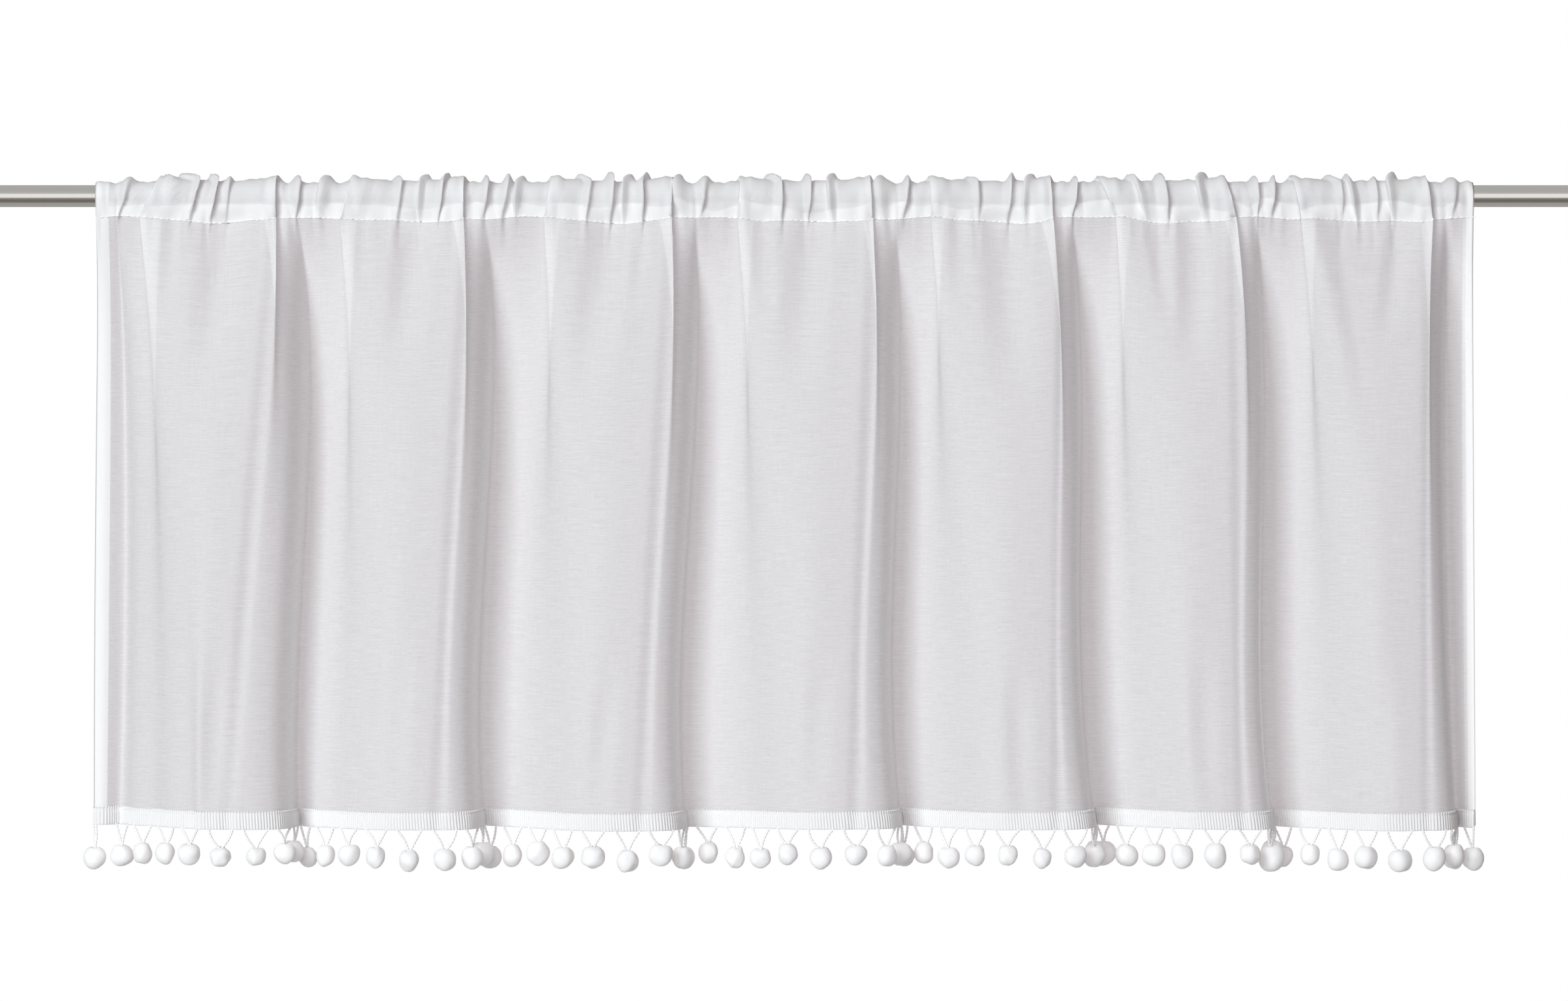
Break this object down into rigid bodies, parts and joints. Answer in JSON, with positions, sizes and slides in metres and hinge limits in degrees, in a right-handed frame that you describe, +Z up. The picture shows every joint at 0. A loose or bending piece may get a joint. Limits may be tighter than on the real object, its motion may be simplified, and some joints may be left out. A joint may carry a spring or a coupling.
{
  "type": "cafe curtain on rod",
  "caption": "Sheer white cafe curtain with a gathered rod pocket and a pompom braid along its hem, hanging in soft pleats from a plain round steel rod.",
  "frame": {"origin": "centre of the rod's left end face", "axes": "+X along the rod from left to right as seen from the front, +Z up, the front of the cloth faces -Y"},
  "size_m": [1.12, 0.0729, 0.4761],
  "materials": {
    "rod_steel": "satin",
    "voile": "sheer woven voile",
    "trim_cotton": "ribbed braid and felted pompoms"
  },
  "bodies": {
    "root": {"rod": "rod_steel", "curtain": "voile", "pompom_trim": "trim_cotton"}
  },
  "joints": []
}
